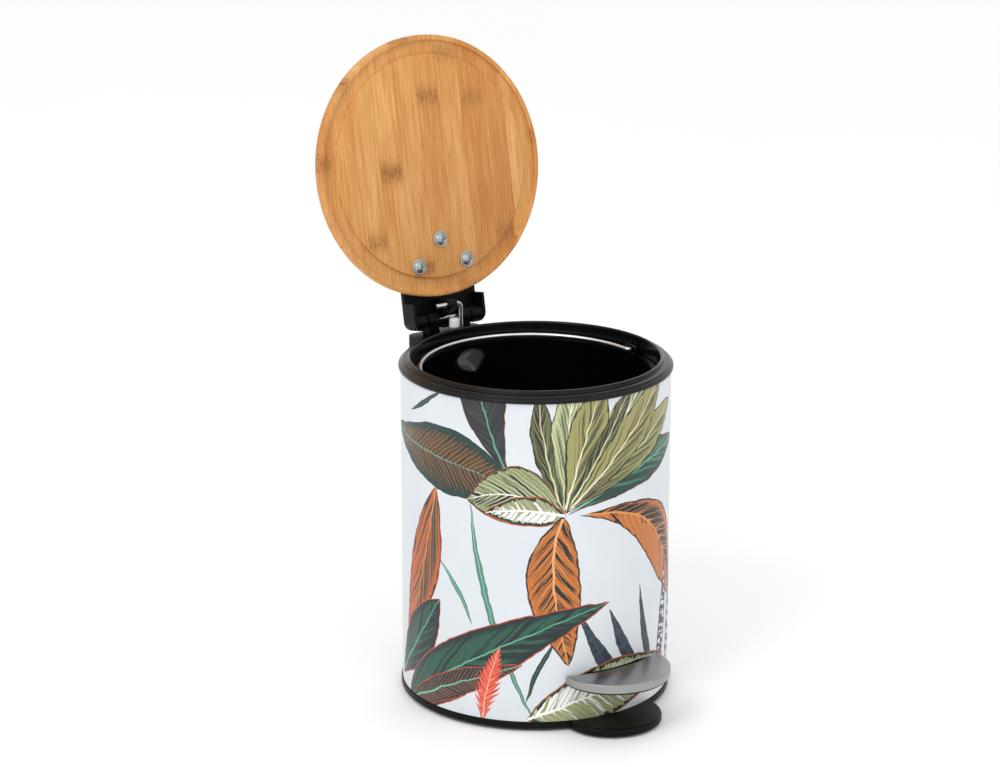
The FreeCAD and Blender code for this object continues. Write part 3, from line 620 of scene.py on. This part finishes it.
def window(bm, left, right, low, high, facing):
    """Cuts a square-cornered window in the side of a tube that faces +Y or -Y."""
    def near():
        return [f for f in bm.faces if middle_of(f).y * facing > 0 and abs(middle_of(f).x) < CUT_REACH]

    for point, normal in (((left, 0, 0), (1, 0, 0)), ((right, 0, 0), (1, 0, 0)),
                          ((0, 0, low), (0, 0, 1)), ((0, 0, high), (0, 0, 1))):
        cut_line(bm, near(), point, normal)
    gone = [f for f in near() if left < middle_of(f).x < right and low < middle_of(f).z < high]
    bmesh.ops.delete(bm, geom=gone, context="FACES")


# ---------------------------------------------------------------- settings
def colour_setting(name, words, code):
    return FloatVectorProperty(name=name, description=words, subtype="COLOR", size=4, min=0, max=1,
                               default=ink(code))


class PEDALBIN_PG_colours(bpy.types.PropertyGroup):
    bamboo_pale: colour_setting("Bamboo, Pale Strip", "Palest bamboo strip in the lid", "#E8B877")
    bamboo_deep: colour_setting("Bamboo, Deep Strip", "Deepest bamboo strip in the lid", "#D69C58")
    print_ground: colour_setting("Print Ground", "Pale ground that the leaves are printed on", "#DDE2E6")
    plastic: colour_setting("Black Plastic", "Rim, base, hinge housing and pedal lever", "#080809")
    liner: colour_setting("Bucket", "Inner bucket", "#060607")
    steel: colour_setting("Steel", "Wire, pins, plated screws and pedal cover", "#C9CBCD")
    screws: colour_setting("Screw Zinc", "Plated heads and washers", "#B4BABA")
    bright: colour_setting("Bail Steel", "Bright wire of the bail", "#F2F3F4")
    pedal: colour_setting("Pedal Steel", "Brushed cover of the pedal", "#A4A4A2")
    nylon: colour_setting("Nylon", "Damper plunger and rod clip", "#E4E4E0")


class PEDALBIN_PG_stage(bpy.types.PropertyGroup):
    azimuth: FloatProperty(name="Azimuth", description="Camera direction round the bin",
                           default=math.radians(-35.3), subtype="ANGLE")
    elevation: FloatProperty(name="Elevation", description="Camera height above the horizon",
                             default=math.radians(16.6), subtype="ANGLE")
    distance: FloatProperty(name="Distance", description="Camera distance from its aim",
                            default=2.05, unit="LENGTH")
    lens: FloatProperty(name="Focal Length", description="Camera focal length in millimetres",
                        default=118.8)
    aim_side: FloatProperty(name="Aim, Sideways", description="Camera shift to its right",
                            default=-0.0222, unit="LENGTH")
    aim_height: FloatProperty(name="Aim, Height", description="Height that the camera aims at",
                              default=0.198, unit="LENGTH")
    key_power: FloatProperty(name="Key Light", description="Power of the main soft light", default=9.0,
                             subtype="POWER")
    fill_power: FloatProperty(name="Fill Light", description="Power of the second soft light", default=2.5,
                              subtype="POWER")
    sky: FloatProperty(name="Ambient Light", description="Strength of the even light all round", default=0.95)


class BinOperator:
    bl_options = {"REGISTER", "UNDO"}

    def execute(self, context):
        self.make(context.scene.pedal_bin_colours, context.scene.pedal_bin_stage)
        return {"FINISHED"}


class PEDALBIN_OT_stage(BinOperator, bpy.types.Operator):
    """Set up the floor, the soft lights and the camera"""
    bl_idname = "pedal_bin.stage"
    bl_label = "Stage"

    def make(self, colours, stage):
        scene = bpy.context.scene
        floor_bm = bmesh.new()
        bmesh.ops.create_grid(floor_bm, x_segments=1, y_segments=1, size=8.0)
        mesh = bpy.data.meshes.new("floor")
        floor_bm.to_mesh(mesh)
        floor_bm.free()
        material, w, shader = surface("floor_white", Specular_IOR_Level=0.1)
        cloud = w.noise(w.place(), 0.002, 2.0)
        w.put(shader.inputs["Base Color"], w.mix(cloud, ink("#FCFCFC"), ink("#FFFFFF")))
        w.put(shader.inputs["Roughness"], w.ramp(cloud, 0.3, 0.7, 0.85, 0.95))
        mesh.materials.append(material)
        floor = bpy.data.objects.new("floor", mesh)
        scene.collection.objects.link(floor)

        world = bpy.data.worlds.new("soft_white")
        world.use_nodes = True
        sky = Wires(world.node_tree)
        aside = sky.math("ABSOLUTE", sky.dot(sky.node("ShaderNodeTexCoord").outputs["Generated"],
                                             (math.cos(stage.azimuth), math.sin(stage.azimuth), 0)))
        background = world.node_tree.nodes["Background"]
        background.inputs["Color"].default_value = (1, 1, 1, 1)
        sky.put(background.inputs["Strength"], sky.math("MULTIPLY", sky.ramp(aside, 0.25, 0.95, 1.2, 0.62),
                                                        stage.sky))
        scene.world = world
        scene.view_settings.view_transform = "Standard"

        turn = Matrix.Rotation(stage.azimuth, 3, "Z")
        for name, spot, size, power in (("key", (-0.9, -1.2, 1.5), 0.9, stage.key_power),
                                        ("fill", (1.3, -0.9, 0.9), 1.0, stage.fill_power)):
            lamp = bpy.data.lights.new(name, "AREA")
            lamp.size, lamp.energy = size, power
            lamp.shape = "DISK"
            holder = bpy.data.objects.new(name, lamp)
            holder.location = turn @ Vector(spot)
            aim = Vector((0, 0, 0.2)) - holder.location
            holder.rotation_euler = aim.to_track_quat("-Z", "Y").to_euler()
            scene.collection.objects.link(holder)

        level, rise = stage.azimuth, stage.elevation
        back = Vector((math.sin(level) * math.cos(rise), -math.cos(level) * math.cos(rise), math.sin(rise)))
        right = Vector((math.cos(level), math.sin(level), 0))
        lens = bpy.data.cameras.new("camera")
        lens.lens = stage.lens
        lens.clip_start, lens.clip_end = 0.1, 50
        camera = bpy.data.objects.new("camera", lens)
        camera.location = Vector((0, 0, stage.aim_height)) + right * stage.aim_side + back * stage.distance
        camera.rotation_euler = (-back).to_track_quat("-Z", "Y").to_euler()
        scene.collection.objects.link(camera)
        scene.camera = camera


class PEDALBIN_OT_carried(BinOperator, bpy.types.Operator):
    """Give every carried-over part its finish"""
    bl_idname = "pedal_bin.carried"
    bl_label = "Carried-Over Parts"

    def make(self, colours, stage):
        black = moulded("black_plastic", colours.plastic, 0.34)
        wire = metal("drawn_wire", colours.steel, 0.16, (0.6, 0.6, 0.6))
        zinc = metal("zinc_plate", colours.steel, 0.26)
        nylon = moulded("white_nylon", colours.nylon, 0.4)
        dull = moulded("dull_plastic", colours.plastic, 0.4, shine=0.13)
        finishes = {
            "black_plastic": black, "foot_rubber": moulded("foot_rubber", ink("#262626"), 0.8, 0.2),
            "printed_steel": black, "zinc_steel": zinc, "steel_wire": wire, "white_nylon": nylon,
            "brushed_steel": metal("brushed_steel", colours.steel, 0.22, (0.03, 1.2, 1.2), 0.01),
            "bucket_plastic": moulded("bucket_plastic", colours.liner, 0.3, 0.03),
            "bamboo": bamboo(colours),
        }
        rows = {row["node"]: row["material_slot"] for row in frame["record"]["subparts"]}
        for name, part in frame["nodes"].items():
            part.data.materials.clear()
            part.data.materials.append(dull if name in DULL_PARTS else finishes[rows[name]])


class PEDALBIN_OT_sleeve(BinOperator, bpy.types.Operator):
    """Make the printed steel sleeve"""
    bl_idname = "pedal_bin.sleeve"
    bl_label = "Printed Sleeve"

    def make(self, colours, stage):
        bm = bmesh.new()
        tube(bm, BODY_R, SLEEVE_LOW, SLEEVE_TOP, 12)
        window(bm, *PEDAL_SLOT, -1)
        window(bm, *ROD_WINDOW, 1)
        bmesh.ops.recalc_face_normals(bm, faces=bm.faces)
        layer = bm.loops.layers.uv.new(PRINT_MAP)
        for face in bm.faces:
            hand = 1 if face.calc_center_median().x > 0 else -1
            for loop in face.loops:
                place = loop.vert.co
                angle = hand * abs(math.atan2(place.x, -place.y))
                loop[layer].uv = (0.5 + angle / (2 * math.pi),
                                  (place.z / MM - SLEEVE_LOW) / (SLEEVE_TOP - SLEEVE_LOW))
        bmesh.ops.solidify(bm, geom=bm.faces, thickness=SLEEVE_WALL * MM)
        outside = (BODY_R - 0.05) * MM
        for face in bm.faces:
            face.material_index = int(face.verts[0].co.xy.length < outside
                                      or face.verts[-1].co.xy.length < outside
                                      or abs(face.normal.z) > 0.7)
        sleeve = finished("printed_sleeve", bm, print_ink(colours), "body", "sleeve")
        sleeve.data.materials.append(metal("sleeve_inside", colours.steel, 0.42))


class PEDALBIN_OT_rim(BinOperator, bpy.types.Operator):
    """Make the stepped plastic rim with its raised collar"""
    bl_idname = "pedal_bin.rim"
    bl_label = "Rim"

    def make(self, colours, stage):
        low = SLEEVE_TOP
        inside = BODY_R - SLEEVE_WALL
        bm = bmesh.new()
        turned(bm, [(FLANGE_R, low), (FLANGE_R, low + 1.7), (84.5, low + 2.4), (83.6, low + 2.6),
                    (83.6, low + 3.3), (82.9, low + 4.0), (COLLAR_OUT + 0.3, low + 4.2),
                    (COLLAR_OUT, low + 4.6), (COLLAR_OUT, COLLAR_TOP - 0.9),
                    (COLLAR_OUT - 0.7, COLLAR_TOP - 0.1), (COLLAR_IN + 0.7, COLLAR_TOP),
                    (COLLAR_IN, COLLAR_TOP - 0.8), (COLLAR_IN, LEDGE_TOP), (LEDGE_R, LEDGE_TOP),
                    (LEDGE_R, LEDGE_TOP - LEDGE_T), (COLLAR_OUT, LEDGE_TOP - LEDGE_T),
                    (COLLAR_OUT, low - 1.4), (SPIGOT_R, low - 1.4), (SPIGOT_R, low - SPIGOT_DEEP),
                    (inside, low - SPIGOT_DEEP), (inside, low)], 256)
        soften(bm, 0.28, 25.0)
        for x, side in ((NOTCH_LEFT, -1), (NOTCH_RIGHT, 1)):
            cut_line(bm, [f for f in bm.faces if middle_of(f).y > 0], (x, 0, 0), (side, 0, 0))
        gone = [f for f in bm.faces if middle_of(f).y > 0 and NOTCH_LEFT < middle_of(f).x < NOTCH_RIGHT
                and middle_of(f).xy.length > COLLAR_OUT + 0.01]
        bmesh.ops.delete(bm, geom=gone, context="FACES")
        open_edges = [e for e in bm.edges if e.is_boundary]
        arcs = [e for e in open_edges if abs(e.verts[0].co.x - e.verts[1].co.x) > WELD]
        bmesh.ops.bridge_loops(bm, edges=arcs)
        bmesh.ops.holes_fill(bm, edges=[e for e in bm.edges if e.is_boundary], sides=0)
        bmesh.ops.recalc_face_normals(bm, faces=bm.faces)
        black = moulded("rim_plastic", colours.plastic, 0.24, 0.03)
        finished("rim", bm, black, "body", "rim_ring", 40)


class PEDALBIN_OT_lid(BinOperator, bpy.types.Operator):
    """Make the bamboo lid panel with its turned groove"""
    bl_idname = "pedal_bin.lid"
    bl_label = "Bamboo Lid"

    def make(self, colours, stage):
        bm = bmesh.new()
        floor = LID_UNDER + GROOVE_DEPTH
        turned(bm, [(0, LID_UNDER), (40, LID_UNDER), (GROOVE_IN, LID_UNDER), (GROOVE_IN, floor),
                    (GROOVE_OUT, floor), (GROOVE_OUT, LID_UNDER), (LID_R, LID_UNDER), (LID_R, LID_TOP),
                    (40, LID_TOP), (0, LID_TOP)], 256)
        # height and radius of each edge, then the size and steps of its rounding
        rounds = ((LID_TOP, LID_R, 2.6, 6), (LID_UNDER, LID_R, 1.2, 5), (LID_UNDER, GROOVE_OUT, 0.45, 3),
                  (LID_UNDER, GROOVE_IN, 0.7, 4), (floor, GROOVE_IN, 0.8, 4), (floor, GROOVE_OUT, 0.8, 4))
        for height, radius, width, segments in rounds:
            edges = [e for e in bm.edges
                     if all(abs(v.co.z / MM - height) < 0.001 and abs(v.co.xy.length / MM - radius) < 0.01
                            for v in e.verts)]
            bmesh.ops.bevel(bm, geom=edges, offset=width * MM, segments=segments, **BEVEL)
        swing_open(bm)
        finished("bamboo_lid", bm, bamboo(colours), "lid", "lid_panel", 40)


class PEDALBIN_OT_lid_screws(BinOperator, bpy.types.Operator):
    """Make the three domed screws under the lid and their washers"""
    bl_idname = "pedal_bin.lid_screws"
    bl_label = "Lid Screws"

    def make(self, colours, stage):
        zinc = metal("screw_zinc", colours.screws, 0.34)
        seat, shank_end, flat = LID_UNDER - WASHER_T, LID_TOP + 2.0, 0.4
        screws, washers = bmesh.new(), bmesh.new()
        for x, y in SCREW_SPOTS:
            one, ring = bmesh.new(), bmesh.new()
            turns = [math.radians(angle) for angle in range(0, 91, 10)]
            dome = [(HEAD_R * math.sin(turn), seat - flat - (HEAD_H - flat) * math.cos(turn))
                    for turn in turns]
            turned(one, [(0, dome[0][1]), *dome[1:], (HEAD_R, seat), (SHANK_R, seat), (SHANK_R, shank_end),
                         (0, shank_end)], 40)
            cross_recess(one, seat - HEAD_H)
            hole_r, face = SHANK_R + 0.2, LID_UNDER - 0.02
            turned(ring, [(hole_r, seat), (WASHER_R, seat), (WASHER_R, face), (hole_r, face)], 48)
            soften(ring, 0.2, 40, 2)
            for whole, part in ((screws, one), (washers, ring)):
                bmesh.ops.translate(part, verts=part.verts, vec=Vector((x, y, 0)) * MM)
                join(whole, part)
        for name, bm, node in (("lid_screw_heads", screws, "lid_screws"),
                               ("lid_screw_washers", washers, "lid_washers")):
            swing_open(bm)
            finished(name, bm, zinc, "lid", node, 40)


class PEDALBIN_OT_pedal(BinOperator, bpy.types.Operator):
    """Make the pressed steel cover of the pedal"""
    bl_idname = "pedal_bin.pedal"
    bl_label = "Pedal Cover"

    def make(self, colours, stage):
        bm = bmesh.new()
        steps = 72
        tuck = math.asin(PEDAL_TUCK / PEDAL_REACH)
        angles = [math.pi - tuck + (math.pi + 2 * tuck) * i / steps for i in range(steps + 1)]
        front = [(PEDAL_HALF * math.cos(a), PEDAL_MIDDLE + PEDAL_REACH * math.sin(a)) for a in angles]
        back = []
        for i in range(1, steps):
            x = abs(front[0][0]) * (1 - 2 * i / steps)
            back.append((x, min(-math.sqrt(PEDAL_BACK_R ** 2 - x * x), PEDAL_MIDDLE + PEDAL_TUCK)))
        plate = bm.faces.new([bm.verts.new(Vector((x, y, PEDAL_TOP)) * MM) for x, y in front + back])
        plate.normal_update()
        if plate.normal.z < 0:
            plate.normal_flip()
        skirt = bmesh.ops.extrude_edge_only(bm, edges=list(plate.edges))
        low = [g for g in skirt["geom"] if isinstance(g, bmesh.types.BMVert)]
        bmesh.ops.translate(bm, verts=low, vec=(0, 0, -PEDAL_DEPTH * MM))
        bmesh.ops.recalc_face_normals(bm, faces=bm.faces)
        if plate.normal.z < 0:
            bmesh.ops.reverse_faces(bm, faces=bm.faces)
        bmesh.ops.bevel(bm, geom=list(plate.edges), offset=PEDAL_LIP * MM, segments=5, clamp_overlap=True,
                        **BEVEL)
        bmesh.ops.solidify(bm, geom=bm.faces, thickness=PEDAL_WALL * MM)
        brushed = metal("pedal_steel", colours.pedal, 0.36, (0.05, 1.1, 1.1), 0.05)
        finished("pedal_plate", bm, brushed, "pedal", "pedal_cover", 35)


class PEDALBIN_OT_bucket(BinOperator, bpy.types.Operator):
    """Make the inner bucket with its rolled lip and the rounded boss at the back"""
    bl_idname = "pedal_bin.bucket"
    bl_label = "Bucket"

    def make(self, colours, stage):
        low, top, wall = BUCKET_R_LOW, BUCKET_R_TOP, BUCKET_WALL
        rows, corner = 40, 2.0
        span = BUCKET_TOP - BUCKET_LOW - 3 * corner

        def side(inset, first):
            return [(low - inset + (top - low) * i / rows, BUCKET_LOW + corner + span * i / rows)
                    for i in range(first, rows + 1)]

        outer = [(0, BUCKET_LOW), (low - corner, BUCKET_LOW), *side(0, 0), (75.2, BUCKET_TOP - corner),
                 (75.2, BUCKET_LIP_LOW), (BUCKET_LIP_R, BUCKET_LIP_LOW), (BUCKET_LIP_R, BUCKET_TOP - 0.8),
                 (BUCKET_LIP_R - 0.8, BUCKET_TOP), (top - wall, BUCKET_TOP)]
        inner = [*reversed(side(wall, 1)), (low - wall - corner, BUCKET_LOW + wall), (0, BUCKET_LOW + wall)]
        bm = bmesh.new()
        turned(bm, outer + inner, 240)
        for vert in bm.verts:
            x, y, z = vert.co / MM
            radius = math.hypot(x, y)
            if radius < low - wall - 0.1 or radius > top + 0.1 or z > BUCKET_TOP - 3.0:
                continue
            turn = abs(math.atan2(y, x) - math.pi / 2) / BOSS_HALF
            rise = (z - BOSS_FOOT) / 22.0 if z < 170 else (BUCKET_TOP - 2.5 - z) / 13.0
            share = smooth_step(1 - turn) * smooth_step(rise)
            vert.co.xy *= 1 - BOSS_DEEP * share / radius
        for hand in (1, -1):
            join(bm, bail_lug(hand))
        gloss = moulded("liner_plastic", colours.liner, 0.11, 0.01, shine=0.45)
        finished("bucket_shell", bm, gloss, "bucket", "bucket", 35)


class PEDALBIN_OT_bail(BinOperator, bpy.types.Operator):
    """Make the wire bail that lies at the back of the bucket"""
    bl_idname = "pedal_bin.bail"
    bl_label = "Bail"

    def make(self, colours, stage):
        def tilted(x, y):
            return Vector((x, y * math.cos(BAIL_TILT), BAIL_Z + y * math.sin(BAIL_TILT)))

        steps, start = 64, math.radians(2.2)
        turns = [start + (math.pi - 2 * start) * i / steps for i in range(steps + 1)]
        arc = [tilted(BAIL_R * math.cos(turn), BAIL_R * math.sin(turn)) for turn in turns]
        right = [tilted(75.6, 0), tilted(72.6, 0.02), tilted(71.9, 0.5), tilted(71.6, 1.4)]
        left = [Vector((-p.x, p.y, p.z)) for p in reversed(right)]
        bm = swept(right + arc + left, BAIL_WIRE)
        finished("bail_wire", bm, metal("bail_steel", colours.bright, 0.38, (0.8, 0.8, 0.8)), "bail",
                 "bail_handle", 50)


class PEDALBIN_OT_rod(BinOperator, bpy.types.Operator):
    """Make the push rod, the hinge pin and the damper's plunger"""
    bl_idname = "pedal_bin.rod"
    bl_label = "Rod, Pin and Plunger"

    def make(self, colours, stage):
        drawn = metal("rod_steel", colours.steel, 0.26, (0.8, 0.8, 0.8))
        lo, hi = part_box("push_rod")
        hook_z, stub_z = lo.z / MM + ROD_R, hi.z / MM - ROD_R
        path = [(HOOK_END, HOOK_Y, hook_z), (ROD_X, HOOK_Y, hook_z), (ROD_X, HOOK_Y, KINK_LOW),
                (ROD_X, STUB_Y, KINK_HIGH), (ROD_X, STUB_Y, stub_z), (STUB_END, STUB_Y, stub_z)]
        bm = swept(bent(path, ROD_BEND), ROD_R - 0.01)
        finished("rod", bm, drawn, "rod", "push_rod", 50)

        lo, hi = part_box("hinge_pin")
        half = hi.x / MM
        pin = bmesh.new()
        turned(pin, [(0, -half), (1.1, -half), (PIN_R, -half + 0.4), (PIN_R, half - 0.4), (1.1, half),
                     (0, half)], 32)
        bmesh.ops.transform(pin, verts=pin.verts, matrix=Matrix.Translation(HINGE)
                            @ Matrix.Rotation(math.pi / 2, 4, "Y"))
        finished("pin", pin, drawn, "body", "hinge_pin", 40)

        lo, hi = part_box("damper_plunger")
        x, y = (lo.x + hi.x) / 2 / MM, (lo.y + hi.y) / 2 / MM
        low, high = lo.z / MM, hi.z / MM
        plunger = bmesh.new()
        turned(plunger, [(0, low), (1.6, low), (1.6, high - 6), (2.9, high - 6), (3.3, high - 5.6),
                         (3.3, high - 1.2), (3.05, high - 0.5), (2.5, high - 0.1), (1.6, high),
                         (0, high)], 40, (x, y))
        nylon = moulded("plunger_nylon", colours.nylon, 0.35)
        finished("plunger", plunger, nylon, "plunger", "damper_plunger", 40)


class PEDALBIN_PT_panel(bpy.types.Panel):
    bl_label = "Pedal Bin"
    bl_idname = "PEDALBIN_PT_panel"
    bl_space_type = "VIEW_3D"
    bl_region_type = "UI"
    bl_category = "Pedal Bin"

    def draw(self, context):
        for operator in OPERATORS:
            self.layout.operator(operator.bl_idname)
        for settings in (context.scene.pedal_bin_colours, context.scene.pedal_bin_stage):
            box = self.layout.box()
            for key in settings.__annotations__:
                box.prop(settings, key)


OPERATORS = [PEDALBIN_OT_stage, PEDALBIN_OT_carried, PEDALBIN_OT_sleeve, PEDALBIN_OT_rim, PEDALBIN_OT_lid,
             PEDALBIN_OT_lid_screws, PEDALBIN_OT_pedal, PEDALBIN_OT_bucket, PEDALBIN_OT_bail, PEDALBIN_OT_rod]
CLASSES = [PEDALBIN_PG_colours, PEDALBIN_PG_stage, *OPERATORS, PEDALBIN_PT_panel]


def register():
    for cls in CLASSES:
        bpy.utils.register_class(cls)
    bpy.types.Scene.pedal_bin_colours = PointerProperty(type=PEDALBIN_PG_colours)
    bpy.types.Scene.pedal_bin_stage = PointerProperty(type=PEDALBIN_PG_stage)


def unregister():
    del bpy.types.Scene.pedal_bin_stage
    del bpy.types.Scene.pedal_bin_colours
    for cls in reversed(CLASSES):
        bpy.utils.unregister_class(cls)


def main():
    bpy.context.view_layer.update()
    register()
    for operator in OPERATORS:
        group, name = operator.bl_idname.split(".")
        getattr(getattr(bpy.ops, group), name)()


if __name__ == "__main__":
    main()
